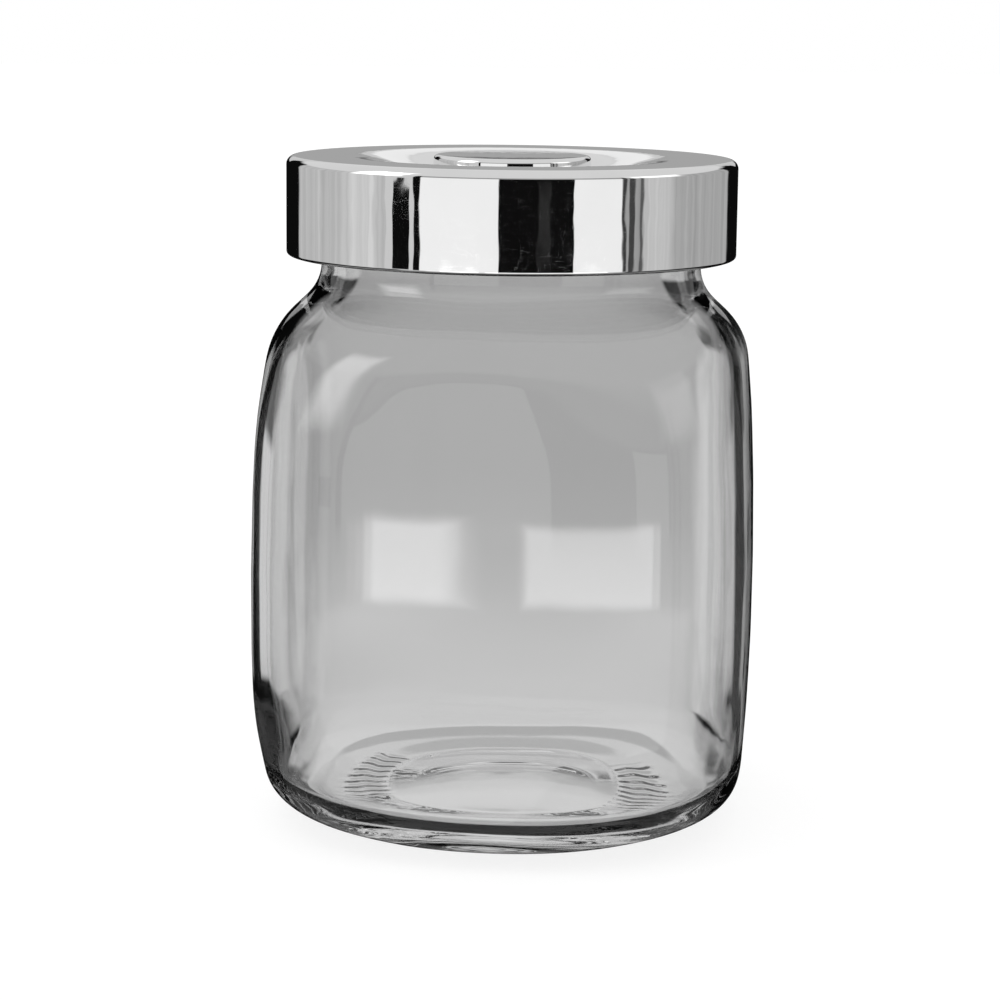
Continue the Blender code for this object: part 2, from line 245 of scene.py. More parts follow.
def new_piece(name, points, faces, sharp_angle):
    """A piece with its place in its mesh: points as an n by 3 array, faces as lists of point numbers."""
    mesh = bpy.data.meshes.new(name)
    mesh.from_pydata(points.tolist(), [], faces)
    mesh.shade_smooth()
    mesh.set_sharp_from_angle(angle=sharp_angle)
    piece = bpy.data.objects.new(name, mesh)
    bpy.context.scene.collection.objects.link(piece)
    return piece


def between_rings(first, count, next_first, next_count):
    """Faces between two rings of points. The finer ring has a whole number of steps to each coarser one."""
    coarse = min(count, next_count)
    here = np.arange(coarse)[:, None]
    ratio, next_ratio = count // coarse, next_count // coarse
    lower = first + (here * ratio + np.arange(ratio + 1)) % count
    upper = next_first + (here * next_ratio + np.arange(next_ratio, -1, -1)) % next_count
    return np.concatenate([lower, upper], 1).tolist()


def fan(pole, first, count, outward):
    """The faces that close a ring of points to a single point, seen anticlockwise from its outer side."""
    here = np.arange(count)
    beside = (here + 1) % count
    pair = (here, beside) if outward else (beside, here)
    return np.stack([np.full(count, pole), first + pair[0], first + pair[1]], 1).tolist()


# ---- Glass jar ----

def side_half_width(height):
    """Half width of the body's side at a height: a parabola of large radius, widest at one height."""
    return BODY_HALF_WIDTH - (height - WIDEST_HEIGHT) ** 2 / (2 * SIDE_BULGE_RADIUS)


def squareness(height, square_from):
    """Exponent of the plan outline at a height: nearly round base, square body, round neck."""
    rise = smooth_ramp(height, 0, square_from)
    fall = smooth_ramp(height, JAR_HEIGHT - ROUNDING_DROP, JAR_HEIGHT - NECK_ROUND_DROP)
    body = BASE_SQUARENESS + (BODY_SQUARENESS - BASE_SQUARENESS) * rise
    return body + (2 - body) * fall


def dome(reach, height, rise, count=DOME_POINTS):
    """A shallow parabolic dome seen from the side, from its edge in to the axis."""
    radii = np.linspace(reach, 0, count)
    return [(radius, height + rise * (1 - (radius / reach) ** 2), 0) for radius in radii]


def jar_profile():
    """The jar's line from under its middle, out, up, over the rim and down to the middle of its floor."""
    foot = BODY_HALF_WIDTH - HEEL_INSET
    neck_foot = JAR_HEIGHT - NECK_HEIGHT
    shoulder = neck_foot - SHOULDER_RISE
    bore = NECK_RADIUS - NECK_WALL
    heights = np.linspace(HEEL_RISE, shoulder, SIDE_POINTS)
    side = [(side_half_width(height), height, 0) for height in heights]
    side[0] = (*side[0][:2], HEEL_FILLET)
    side[-1] = (*side[-1][:2], SHOULDER_FILLET)
    neck = [(NECK_RADIUS, neck_foot, NECK_FILLET), (NECK_RADIUS, JAR_HEIGHT, RIM_FILLET)]
    underside = dome(STANDING_RADIUS - STANDING_WIDTH / 2, 0, PUNT_RISE)[::-1]
    foot_line = [(STANDING_RADIUS + STANDING_WIDTH / 2, 0, 0), (foot, FOOT_LIFT, 0)]
    outer = underside + foot_line + side + neck

    inner_neck = wall_corner(side[-1], neck[0], neck[1], -SIDE_WALL, -NECK_WALL)
    inner_shoulder = wall_corner(side[-2], side[-1], neck[0], -SIDE_WALL, -SIDE_WALL)
    inner_heights = np.linspace(inner_shoulder[1], BASE_THICKNESS, SIDE_POINTS)[1:]
    inner_side = [(side_half_width(height) - SIDE_WALL, height, 0) for height in inner_heights]
    inner_side[-1] = (*inner_side[-1][:2], INNER_HEEL_FILLET)
    floor = dome(inner_side[-1][0] - FLOOR_MARGIN, BASE_THICKNESS, FLOOR_RISE)
    inner = [(*inner_neck, NECK_FILLET), (*inner_shoulder, SHOULDER_FILLET - SIDE_WALL)] + inner_side + floor
    line = evenly(rounded(outer + [(bore, JAR_HEIGHT, RIM_FILLET)] + inner), FINE_STEP)
    line = softened(line, SOFTENING, smooth_ramp(JAR_HEIGHT - line[:, 1], CRISP_DEPTH, SOFT_DEPTH))
    return by_bend(line, LONGEST_STEP, SHARPEST_BEND)


def rib_lift(radius, turn):
    """How far the grooves between the ribs go up into the glass.

    Even ribs, as (0.5 - 0.5 cos(count t)) at turn t, wander a little sideways by two slow sines of the turn.
    """
    start, end = RIB_RADII
    inside = smooth_ramp(radius, start, start + RIB_MARGIN)
    outside = smooth_ramp(-radius, -end, -end + RIB_MARGIN)
    wander = 0.9 * np.sin(5 * turn + 900 * radius) + 0.5 * np.sin(3 * turn + 0.7)
    groove = 0.5 - 0.5 * np.cos(RIB_COUNT * turn + wander)
    sides = smooth_ramp(np.abs(np.cos(turn)), math.cos(RIB_ARC), math.cos(RIB_FADE * RIB_ARC))
    return RIB_DEPTH * groove * inside * outside * sides


def make_jar():
    """Outlines stacked along the profile.

    At radius r and exponent n an outline is r (|cos t|^n + |sin t|^n)^(-1/n) (cos t, sin t). Rings under the
    foot have more points, for the ribs.
    """
    line = jar_profile()
    top = int(np.argmax(line[:, 1]))
    under = np.arange(len(line)) < np.argmax(line[:, 0] > RIB_RADII[1] + RIB_ROOM)
    ribbed = under & (line[:, 0] > RIB_RADII[0])
    first, last = np.nonzero(ribbed)[0][[0, -1]]
    ring_radii = np.linspace(line[first, 0], line[last, 0], RIB_RINGS)
    ring = np.stack([ring_radii, np.interp(ring_radii, *line[:last + 1].T)], 1)
    stretches = (
        (line[1:first], JAR_SEGMENTS, SQUARE_FROM_HEIGHT),
        (ring, RIB_SEGMENTS, SQUARE_FROM_HEIGHT),
        (line[last + 1:top], JAR_SEGMENTS, SQUARE_FROM_HEIGHT),
        (line[top:-1], JAR_SEGMENTS, INNER_SQUARE_FROM_HEIGHT),
    )
    points, faces, start, before = [np.array([(0, 0, line[0, 1])])], [], 1, None
    for rows, count, square_from in stretches:
        turn = np.linspace(0, 2 * math.pi, count, endpoint=False)
        radius, height = rows[:, :1], rows[:, 1:]
        power = squareness(height, square_from)
        spread = np.abs(np.cos(turn)) ** power + np.abs(np.sin(turn)) ** power
        reach = radius * spread ** (-1 / power)
        level = np.broadcast_to(height, reach.shape)
        if count == RIB_SEGMENTS:
            level = level + rib_lift(radius, turn)
        points.append(np.stack([reach * np.cos(turn), reach * np.sin(turn), level], 2).reshape(-1, 3))
        for _ in rows:
            if before:
                faces += between_rings(*before, start, count)
            before = (start, count)
            start += count
    end = start
    points.append(np.array([(0, 0, line[-1, 1])]))
    faces += fan(0, 1, JAR_SEGMENTS, False) + fan(end, end - JAR_SEGMENTS, JAR_SEGMENTS, True)
    return new_piece("jar_glass", np.concatenate(points), faces, JAR_SHARP_ANGLE)


# ---- Lid ----

def with_inset_points(line):
    """The line with a point added near each end of every long straight stretch, so that flats shade flat."""
    walked = along(line)
    lengths = np.diff(walked)
    long = lengths > 6 * FLAT_INSET
    starts, ends = walked[:-1][long] + FLAT_INSET, walked[1:][long] - FLAT_INSET
    marks = np.unique(np.concatenate([walked, starts, ends]))
    return np.stack([np.interp(marks, walked, line[:, axis]) for axis in range(2)], 1)


def around(name, reach, level, poles=None):
    """A piece from a grid of radii and heights, its columns even turns about the axis.

    The point at a row's turn t is (reach cos t, reach sin t, level). The rows run on into the first one, or
    each end row closes to its pole's height on the axis.
    """
    rows, columns = reach.shape
    turn = np.linspace(0, 2 * math.pi, columns, endpoint=False)
    points = np.stack([reach * np.cos(turn), reach * np.sin(turn), level], 2).reshape(-1, 3)
    faces = []
    for row in range(rows - 1 if poles else rows):
        faces += between_rings((row + 1) % rows * columns, columns, row * columns, columns)
    if poles:
        end = rows * columns
        points = np.concatenate([points, [(0, 0, poles[0]), (0, 0, poles[1])]])
        faces += fan(end, 0, columns, True) + fan(end + 1, end - columns, columns, False)
    return new_piece(name, points, faces, LATHE_SHARP_ANGLE)


def turned(name, corners, closed):
    """A lathe piece: the rounded profile, clockwise from the top, turned about the axis."""
    line = with_inset_points(rounded(corners + corners[:1] if closed else corners))
    rows = line[:-1] if closed else line[1:-1]
    poles = None if closed else (line[0, 1], line[-1, 1])
    grid = np.repeat(rows[:, :, None], LATHE_SEGMENTS, 2)
    return around(name, grid[:, 0], grid[:, 1], poles)


def under_cap(depth, first_depth=None):
    """The two bends of the cap's dish moved in under it by a depth, the dish's floor by first_depth."""
    floor = CAP_HIGH.z - DISH_DEPTH
    rim = CAP_HIGH.z
    line = ((BOSS_HOLE, floor), (DISH_FLOOR_RADIUS, floor), (DISH_RADIUS, rim), (CAP_HIGH.x, rim))
    low = wall_corner(*line[:3], first_depth or depth, depth)
    return low, wall_corner(*line[1:], depth, depth)


def make_cap():
    """The bright cap: skirt, flat rim, dish, and the hole for the knob's boss."""
    radius, top, bottom = CAP_HIGH.x, CAP_HIGH.z, CAP_LOW.z
    floor = top - DISH_DEPTH
    low_bend, high_bend = under_cap(CAP_WALL)
    return turned("lid_cap", [
        (BOSS_HOLE, floor, 0),
        (DISH_FLOOR_RADIUS, floor, DISH_FILLET),
        (DISH_RADIUS, top, DISH_LIP_FILLET),
        (radius, top, CAP_TOP_FILLET),
        (radius, bottom, CAP_HEM_FILLET),
        (radius - CAP_WALL, bottom, CAP_LIP_FILLET),
        (radius - CAP_WALL, top - CAP_WALL, CAP_LIP_FILLET),
        (*high_bend, DISH_FILLET),
        (*low_bend, DISH_FILLET),
        (BOSS_HOLE, floor - CAP_WALL, 0),
    ], True)


def make_knob():
    """The disc knob: a cup turned over, with a boss down to the stopper."""
    radius, top, boss_bottom = KNOB_HIGH.x, KNOB_HIGH.z, KNOB_LOW.z
    bottom = CAP_HIGH.z - DISH_DEPTH + GAP
    pad_edge, pad_top = PAD_HIGH.x + GAP, PAD_HIGH.z + GAP
    bore_top = SCREW_HIGH.z + SCREW_TIP_ROOM
    top_radius = radius - KNOB_TAPER
    return turned("pull_knob", dome(top_radius, top, -KNOB_DIP, KNOB_DIP_POINTS)[:0:-1] + [
        (top_radius, top, KNOB_FILLET),
        (radius, bottom, KNOB_LIP_FILLET),
        (radius - KNOB_WALL, bottom, KNOB_LIP_FILLET),
        (radius - KNOB_WALL, top - KNOB_WALL, KNOB_FILLET),
        (pad_edge, top - KNOB_WALL, 0),
        (pad_edge, pad_top, 0),
        (BOSS_RADIUS, pad_top, 0),
        (BOSS_RADIUS, boss_bottom, 0),
        (SCREW_HOLE, boss_bottom, 0),
        (SCREW_HOLE, bore_top, 0),
        (0, bore_top, 0),
    ], False)


def make_stopper():
    """The white stopper: flange over the glass rim, floor under the dish, and a plug into the neck."""
    edge, flange_top, bottom = STOPPER_HIGH.x, STOPPER_HIGH.z, STOPPER_LOW.z
    flange_bottom = flange_top - STOPPER_FLANGE
    floor_top = CAP_HIGH.z - DISH_DEPTH - CAP_WALL - GAP
    plug = SEAL_LOW_RADIUS - SEAL_SLEEVE - GAP
    low_top, high_top = under_cap(CAP_WALL + GAP)
    low_under, high_under = under_cap(CAP_WALL + GAP + STOPPER_FLANGE, CAP_WALL + GAP + STOPPER_WALL)
    return turned("lid_stopper", [
        (SCREW_HOLE, floor_top, 0),
        (*low_top, DISH_FILLET),
        (*high_top, DISH_FILLET),
        (edge, flange_top, MOULDED_EDGE),
        (edge, flange_bottom, MOULDED_EDGE),
        (plug, flange_bottom, MOULDED_EDGE),
        (plug, bottom + PLUG_BEAD, 0),
        (SEAL_LOW_RADIUS, bottom + PLUG_BEAD, MOULDED_EDGE),
        (SEAL_LOW_RADIUS, bottom, BEAD_FILLET),
        (plug - STOPPER_WALL, bottom, MOULDED_EDGE),
        (plug - STOPPER_WALL, flange_bottom, PLUG_ROOT_FILLET),
        (*high_under, DISH_FILLET),
        (*low_under, DISH_FILLET),
        (SCREW_HOLE, floor_top - STOPPER_WALL, 0),
    ], True)


def make_seal():
    """The clear seal: a sleeve round the plug, a lip over the glass rim and fins against the neck's bore."""
    lip, lip_top, bottom = SEAL_HIGH.x, SEAL_HIGH.z, SEAL_LOW.z
    sleeve, fin = SEAL_LOW_RADIUS, SEAL_LOW_RADIUS + FIN_REACH
    inner = sleeve - SEAL_SLEEVE
    lip_bottom = lip_top - LIP_THICKNESS
    corners = [(lip, lip_top, MOULDED_EDGE), (lip, lip_bottom, MOULDED_EDGE)]
    corners += [(sleeve, lip_bottom, MOULDED_EDGE)]
    for top in np.linspace(lip_bottom, bottom, FIN_COUNT + 2)[1:-1]:
        corners += [(sleeve, top, MOULDED_EDGE), (fin, top - FIN_TAPER, FIN_EDGE / 2)]
        corners += [(fin, top - FIN_TAPER - FIN_EDGE, FIN_EDGE / 2), (sleeve, top - FIN_ROOT, MOULDED_EDGE)]
    corners += [(sleeve, bottom, MOULDED_EDGE), (inner, bottom, 0), (inner, lip_top, MOULDED_EDGE)]
    return turned("lid_seal", corners, True)


def make_pad(name, low, high, bore):
    """A flat ring of soft silicone with rounded edges."""
    return turned(name, [
        (bore, (low.z + high.z) / 2, 0),
        (bore, high.z, PAD_FILLET),
        (high.x, high.z, PAD_FILLET),
        (high.x, low.z, PAD_FILLET),
        (bore, low.z, PAD_FILLET),
    ], True)


def make_screw():
    """Pan-head screw, head down, with a cut thread and a cross recess.

    The thread's radius at turn t and height z is the crest less a depth that goes as
    (0.5 - 0.5 cos(t - 2 pi z / pitch)). The recess's outline is the least of span / cos t and width / sin t,
    with t folded into an eighth of a turn, and it narrows a little as it goes deeper.
    """
    head, bottom, tip = SCREW_HIGH.x, SCREW_LOW.z, SCREW_HIGH.z
    head_top = bottom + SCREW_HEAD_HEIGHT
    turn = np.linspace(0, 2 * math.pi, SCREW_SEGMENTS, endpoint=False)
    outer = rounded([
        (0, tip, 0),
        (SCREW_RADIUS, tip - SCREW_RADIUS, 0),
        (SCREW_RADIUS, head_top, 0),
        (head, head_top, SCREW_EDGE),
        (head, bottom, SCREW_HEAD_FILLET),
        (RECESS_RIM, bottom, 0),
    ])
    walked = along(outer)
    shank = np.arange(walked[1], walked[2], THREAD_PITCH / THREAD_ROWS)
    marks = np.unique(np.concatenate([walked, shank, [walked[2] - FLAT_INSET, walked[2] + FLAT_INSET]]))
    radius, level = (np.interp(marks, walked, outer[:, axis])[1:, None] for axis in range(2))
    threaded = (radius > 0.5 * SCREW_RADIUS) & (level > head_top)
    cut = smooth_ramp(level, head_top, head_top + THREAD_PITCH) * threaded
    groove = 0.5 - 0.5 * np.cos(turn - 2 * math.pi * level / THREAD_PITCH)
    reach = radius - THREAD_DEPTH * cut * groove

    eighth = np.abs((turn + math.pi / 4) % (math.pi / 2) - math.pi / 4)
    beside = np.maximum(np.sin(eighth), 0.01)  # never 0, so that it can divide
    outline = np.minimum(RECESS_SPAN / 2 / np.cos(eighth), RECESS_WIDTH / 2 / beside)
    depths = np.array(RECESS_NARROWING)
    recess = depths[:, 1:] * outline
    levels = np.concatenate([level, bottom + RECESS_DEPTH * depths[:, :1]])
    reach = np.concatenate([reach, recess])
    levels = np.broadcast_to(levels, reach.shape)
    return around("clamp_screw", reach, levels, (tip, bottom + RECESS_DEPTH))


# ---- Finishes ----

def add_node(tree, kind, **settings):
    """A shader node with its settings."""
    node = tree.nodes.new(kind)
    for name, value in settings.items():
        setattr(node, name, value)
    return node


def feed(tree, socket, operand):
    """Links a socket to an input, or sets the input to a number."""
    if isinstance(operand, bpy.types.NodeSocket):
        tree.links.new(operand, socket)
    else:
        socket.default_value = operand


def maths(tree, operation, *operands):
    """One Math node; each operand is a socket or a number."""
    node = add_node(tree, "ShaderNodeMath", operation=operation)
    for socket, operand in zip(node.inputs, operands):
        feed(tree, socket, operand)
    return node.outputs[0]


def mixed(tree, share, first, second):
    """first where share is 0 and second where it is 1; each is a socket or a number."""
    node = add_node(tree, "ShaderNodeMix", data_type="FLOAT")
    for place, operand in ((0, share), (2, first), (3, second)):
        feed(tree, node.inputs[place], operand)
    return node.outputs[0]


def new_group(name, inputs, output):
    """A shader node group with float inputs, given as name and default, and one float output."""
    group = bpy.data.node_groups.new(name, "ShaderNodeTree")
    for label, default in inputs:
        socket = group.interface.new_socket(label, in_out="INPUT", socket_type="NodeSocketFloat")
        socket.default_value = default
    group.interface.new_socket(output, in_out="OUTPUT", socket_type="NodeSocketFloat")
    return group, group.nodes.new("NodeGroupInput").outputs, group.nodes.new("NodeGroupOutput").inputs[0]


def noise_at(tree, coordinates, scale, detail, roughness=0.5, distortion=0.0):
    """A noise value around 0.5 at some coordinates; scale, a socket or a number, is in cells a metre."""
    noise = add_node(tree, "ShaderNodeTexNoise")
    tree.links.new(coordinates, noise.inputs["Vector"])
    feed(tree, noise.inputs["Scale"], scale)
    noise.inputs["Detail"].default_value = detail
    noise.inputs["Roughness"].default_value = roughness
    noise.inputs["Distortion"].default_value = distortion
    return noise.outputs["Fac"]


def object_point(tree):
    """The point on the piece, in metres."""
    return add_node(tree, "ShaderNodeTexCoord").outputs["Object"]


def squeezed(tree, point, x, y, z):
    """The coordinates multiplied along each axis; each factor is a socket or a number."""
    factors = add_node(tree, "ShaderNodeCombineXYZ")
    for socket, factor in zip(factors.inputs, (x, y, z)):
        feed(tree, socket, factor)
    node = add_node(tree, "ShaderNodeVectorMath", operation="MULTIPLY")
    tree.links.new(point, node.inputs[0])
    tree.links.new(factors.outputs[0], node.inputs[1])
    return node.outputs[0]


def make_waviness_group():
    """Slow waves in a surface: Height is Depth times a noise with cells of Size, Draw times as tall."""
    group, given, result = new_group("Waviness", (("Size", 0.02), ("Draw", 1.0), ("Depth", 0.0001)), "Height")
    point = squeezed(group, object_point(group), 1, 1, maths(group, "DIVIDE", 1, given["Draw"]))
    wave = noise_at(group, point, maths(group, "DIVIDE", 1, given["Size"]), 1.0)
    group.links.new(maths(group, "MULTIPLY", maths(group, "SUBTRACT", wave, 0.5), given["Depth"]), result)
    return group


def make_scuffs_group():
    """Hairline scuffs: Mask is 1 along thin bent lines, from the ridges of two stretched noises."""
    group, given, result = new_group("Scuffs", (("Size", 0.01), ("Share", 0.1)), "Mask")
    scale = maths(group, "DIVIDE", 1, given["Size"])
    point = object_point(group)
    lines = []
    for x, y, z in ((1, 1, 7), (5, 6, 1)):
        bent = noise_at(group, squeezed(group, point, x, y, z), scale, 3.0, 0.6, 0.4)
        ridge = maths(group, "ABSOLUTE", maths(group, "SUBTRACT", bent, 0.5))
        thin = maths(group, "DIVIDE", ridge, maths(group, "MULTIPLY", given["Share"], 0.1))
        lines.append(maths(group, "SUBTRACT", 1, maths(group, "MINIMUM", thin, 1)))
    clouds = noise_at(group, point, maths(group, "MULTIPLY", scale, 0.3), 2.0)
    patches = maths(group, "GREATER_THAN", clouds, 0.5)
    group.links.new(maths(group, "MULTIPLY", maths(group, "MAXIMUM", *lines), patches), result)
    return group


def make_specks_group():
    """Scattered specks: Mask peaks in small round cells of Size, one to a Spacing where a noise picks it."""
    group, given, result = new_group("Specks", (("Spacing", 0.005), ("Size", 0.0003), ("Share", 0.3)), "Mask")
    cells = add_node(group, "ShaderNodeTexVoronoi", feature="F1")
    group.links.new(object_point(group), cells.inputs["Vector"])
    feed(group, cells.inputs["Scale"], maths(group, "DIVIDE", 1, given["Spacing"]))
    picked = add_node(group, "ShaderNodeSeparateColor")
    group.links.new(cells.outputs["Color"], picked.inputs[0])
    reach = maths(group, "DIVIDE", given["Size"], given["Spacing"])
    near = maths(group, "SUBTRACT", 1, maths(group, "DIVIDE", cells.outputs["Distance"], reach))
    speck = maths(group, "MAXIMUM", near, 0)
    chosen = maths(group, "LESS_THAN", picked.outputs[0], given["Share"])
    group.links.new(maths(group, "MULTIPLY", speck, chosen), result)
    return group


def place(tree, group, **values):
    """The output of a group placed in a material with its own values."""
    node = add_node(tree, "ShaderNodeGroup", node_tree=group)
    for label, value in values.items():
        node.inputs[label.capitalize()].default_value = value
    return node.outputs[0]


def new_material(name, constants):
    """A material and its node tree, with constants set on the shader's own sockets."""
    material = bpy.data.materials.new(name)
    material.use_nodes = True
    tree = material.node_tree
    shader = tree.nodes["Principled BSDF"]
    for label, value in constants.items():
        shader.inputs[label].default_value = value
    return material, tree, shader


def shade_grey(tree, shader, share, first, second):
    """Base Color from the first grey where share is 0 to the second where it is 1."""
    blend = add_node(tree, "ShaderNodeMix", data_type="RGBA")
    feed(tree, blend.inputs[0], share)
    blend.inputs[6].default_value = (*first, 1)
    blend.inputs[7].default_value = (*second, 1)
    tree.links.new(blend.outputs[2], shader.inputs["Base Color"])


def raise_surface(tree, shader, height):
    """Tilts the shader's normal by a height in metres."""
    bump = add_node(tree, "ShaderNodeBump")
    bump.inputs["Distance"].default_value = 1.0
    tree.links.new(height, bump.inputs["Height"])
    tree.links.new(bump.outputs["Normal"], shader.inputs["Normal"])


def glass_material(waviness, specks):
    """Clear glass with the slow waves and the small seeds of moulded glass, and painted shade that greys its
    colour where it turns away.
    """
    material, tree, shader = new_material("clear_jar_glass", {
        "Transmission Weight": 1.0, "Roughness": 0.0, "IOR": 1.5,
    })
    # Painted shade: the glass's colour greys from 0.98 to 0.90 where it turns away, to darken its outlines.
    facing = add_node(tree, "ShaderNodeLayerWeight").outputs["Facing"]
    shade_grey(tree, shader, maths(tree, "POWER", facing, 3.0), (0.98, 0.98, 0.98), (0.90, 0.90, 0.90))
    waves = place(tree, waviness, size=0.011, draw=3.0, depth=0.00006)
    seeds = place(tree, specks, spacing=0.009, size=0.00035, share=0.12)
    raise_surface(tree, shader, maths(tree, "MULTIPLY_ADD", seeds, 0.00008, waves))
    return material


def plating_material(waviness, scuffs):
    """Bright plating over drawn sheet, with slow waves, faint scuffs and a duller bloom in places."""
    material, tree, shader = new_material("bright_plating", {"Metallic": 1.0})
    point = object_point(tree)
    bloom = noise_at(tree, point, 90.0, 4.0)
    shade_grey(tree, shader, bloom, (0.82, 0.82, 0.82), (0.88, 0.88, 0.88))
    scuffed = place(tree, scuffs, size=0.012, share=0.05)
    rough = maths(tree, "MULTIPLY_ADD", bloom, 0.02, 0.01)
    tree.links.new(maths(tree, "MULTIPLY_ADD", scuffed, 0.06, rough), shader.inputs["Roughness"])
    raise_surface(tree, shader, place(tree, waviness, size=0.003, draw=2.7, depth=0.000025))
    return material


def plastic_material(specks, scuffs):
    """White moulded plastic: fine satin grain, faint flow clouds, scuffs and a few specks."""
    material, tree, shader = new_material("white_moulded_plastic", {"IOR": 1.46})
    point = object_point(tree)
    cloud = noise_at(tree, point, 60.0, 3.0)
    shade_grey(tree, shader, cloud, (0.77, 0.77, 0.76), (0.83, 0.83, 0.82))
    scuffed = place(tree, scuffs, size=0.008, share=0.12)
    rough = maths(tree, "MULTIPLY_ADD", cloud, 0.12, 0.27)
    tree.links.new(maths(tree, "MULTIPLY_ADD", scuffed, 0.15, rough), shader.inputs["Roughness"])
    grain = maths(tree, "MULTIPLY", noise_at(tree, point, 4500.0, 2.0), 0.000006)
    pits = place(tree, specks, spacing=0.004, size=0.00025, share=0.2)
    raise_surface(tree, shader, maths(tree, "MULTIPLY_ADD", pits, -0.00004, grain))
    return material


def silicone_material(specks):
    """Milky clear silicone: soft matt skin, slight mottling and a little dust."""
    material, tree, shader = new_material("clear_silicone", {"IOR": 1.41, "Transmission Weight": 0.35})
    point = object_point(tree)
    mottle = noise_at(tree, point, 220.0, 3.0)
    shade_grey(tree, shader, mottle, (0.70, 0.71, 0.71), (0.79, 0.80, 0.80))
    dust = place(tree, specks, spacing=0.0025, size=0.0002, share=0.35)
    rough = maths(tree, "MULTIPLY_ADD", mottle, 0.15, 0.33)
    tree.links.new(maths(tree, "MULTIPLY_ADD", dust, 0.3, rough), shader.inputs["Roughness"])
    skin = maths(tree, "MULTIPLY", noise_at(tree, point, 3000.0, 3.0), 0.000008)
    raise_surface(tree, shader, maths(tree, "MULTIPLY_ADD", dust, 0.00003, skin))
    return material


def steel_material(scuffs):
    """Zinc-bright steel with fine rings from turning."""
    material, tree, shader = new_material("zinc_bright_steel", {"Metallic": 1.0})
    point = object_point(tree)
    parts = add_node(tree, "ShaderNodeSeparateXYZ")
    tree.links.new(point, parts.inputs[0])
    x, y, z = parts.outputs
    out = maths(tree, "SQRT", maths(tree, "MULTIPLY_ADD", x, x, maths(tree, "MULTIPLY", y, y)))
    rings = add_node(tree, "ShaderNodeTexNoise", noise_dimensions="1D")
    rings.inputs["Scale"].default_value = 9000.0
    rings.inputs["Detail"].default_value = 2.0
    tree.links.new(maths(tree, "ADD", out, z), rings.inputs["W"])
    cloud = noise_at(tree, point, 700.0, 2.0)
    shade_grey(tree, shader, cloud, (0.56, 0.56, 0.56), (0.68, 0.68, 0.68))
    scuffed = place(tree, scuffs, size=0.002, share=0.2)
    rough = maths(tree, "MULTIPLY_ADD", cloud, 0.12, 0.2)
    tree.links.new(maths(tree, "MULTIPLY_ADD", scuffed, 0.2, rough), shader.inputs["Roughness"])
    raise_surface(tree, shader, maths(tree, "MULTIPLY", rings.outputs["Fac"], 0.000003))
    return material


# ---- Studio ----

# The camera: angles in degrees, lens and sensor in millimetres, the rest in metres.
CAMERA_AZIMUTH = 7.75  # round from the front, towards the right
CAMERA_LENS = 101.3
CAMERA_DISTANCE = 0.6146
CAMERA_HEIGHT = 0.1814
CAMERA_PITCH = 10.285
CAMERA_ROLL = 0.663
AIM_SIDESTEP = 0.00184  # how far to the side of the jar's axis the camera aims
SENSOR_WIDTH = 36
NEAREST = 0.01
FARTHEST = 50

# Light, sun and floor.
LIGHT_PATH_TURNS = 24
SURROUND_LIGHT = 0.9  # what matt surfaces see
BACKGROUND_LIGHT = 1.0  # what the camera sees
SUN_LIGHT = 0.5
SUN_SOFTNESS = math.radians(40)
SUN_TILT = (math.radians(12), math.radians(-10), 0)
FLOOR_RADIUS = 6.0
FLOOR_SEGMENTS = 96
FLOOR_DROP = 0.0001
FLOOR_GREY = 0.2
FLOOR_GLOW = 0.85
STREAK_DENSITY = 0.25  # streaks for each degree
STREAK_DETAIL = 4
WINDOW_SURFACES = 2.5  # the windows show inside the glass until light has gone through this many surfaces

# The studio that shines in the object and shows through it, by direction from the jar. Azimuths are degrees
# round from the camera's side, left negative, and 180 is straight behind; then come the elevations, the width
# of the soft edge, how strongly upright streaks vary it, and its brightness. Later panels cover earlier ones.
MIRRORED = (
    ("floor around", -190, 190, -56, -32, 8, 0, 0.20),
    ("wall in front", -66, 68, 8, 24, 3, 0, 0.36),
    ("behind", 160, 200, 5.2, 22, 1, 0, 0.61),
    ("bright strip behind", 174, 186, 8, 20, 2, 0, 0.90),
    ("backdrop", 172, 188, 1.6, 5.2, 0.8, 0, 0.38),
    ("backdrop's shade", 172, 188, -1, 1.6, 1.2, 0, 0.16),
    ("backdrop's foot", 176, 184, -14, -1, 1, 0, 0.95),
    ("left wall", -137, -65, -14, 24, 3, 0.5, 0.54),
    ("left wall's bright end", -92, -72, -14, 24, 10, 0.5, 0.68),
    ("right wall", 67, 141, -14, 24, 3, 0.5, 0.42),
    ("right wall's bright end", 67, 88, -14, 24, 14, 0.5, 0.60),
    ("curtain", 56.8, 69.5, -14, 24, 0.8, 0.6, 0.38),
    ("curtain's first fold", 57.2, 58.8, -14, 24, 0.8, 0, 0.05),
    ("curtain's second fold", 60.6, 63.6, -14, 24, 1.0, 0, 0.06),
    ("curtain's third fold", 67.0, 68.8, -14, 24, 0.8, 0, 0.11),
    ("left card's surround", -66, -47, -14, 24, 0.7, 0, 0.66),
    ("left card", -61.5, -52.5, -5.90, -3.84, 0.10, 0, 0.004),
    ("gap", -49.6, -46.6, -14, 24, 0.4, 0, 0.004),
    ("left softbox", -46.4, -6.8, -30, 7, 0.7, 0, 1.0),
    ("right softbox", 30.7, 56.8, -30, 7, 0.7, 0, 0.98),
    ("stand", 13, 19, -5.4, -3.9, 1.5, 0, 0.025),
    ("ceiling", -190, 190, 20, 100, 5, 0, 0.74),
    ("table", -60, 60, -28, -8.5, 2, 0, 0.59),
)
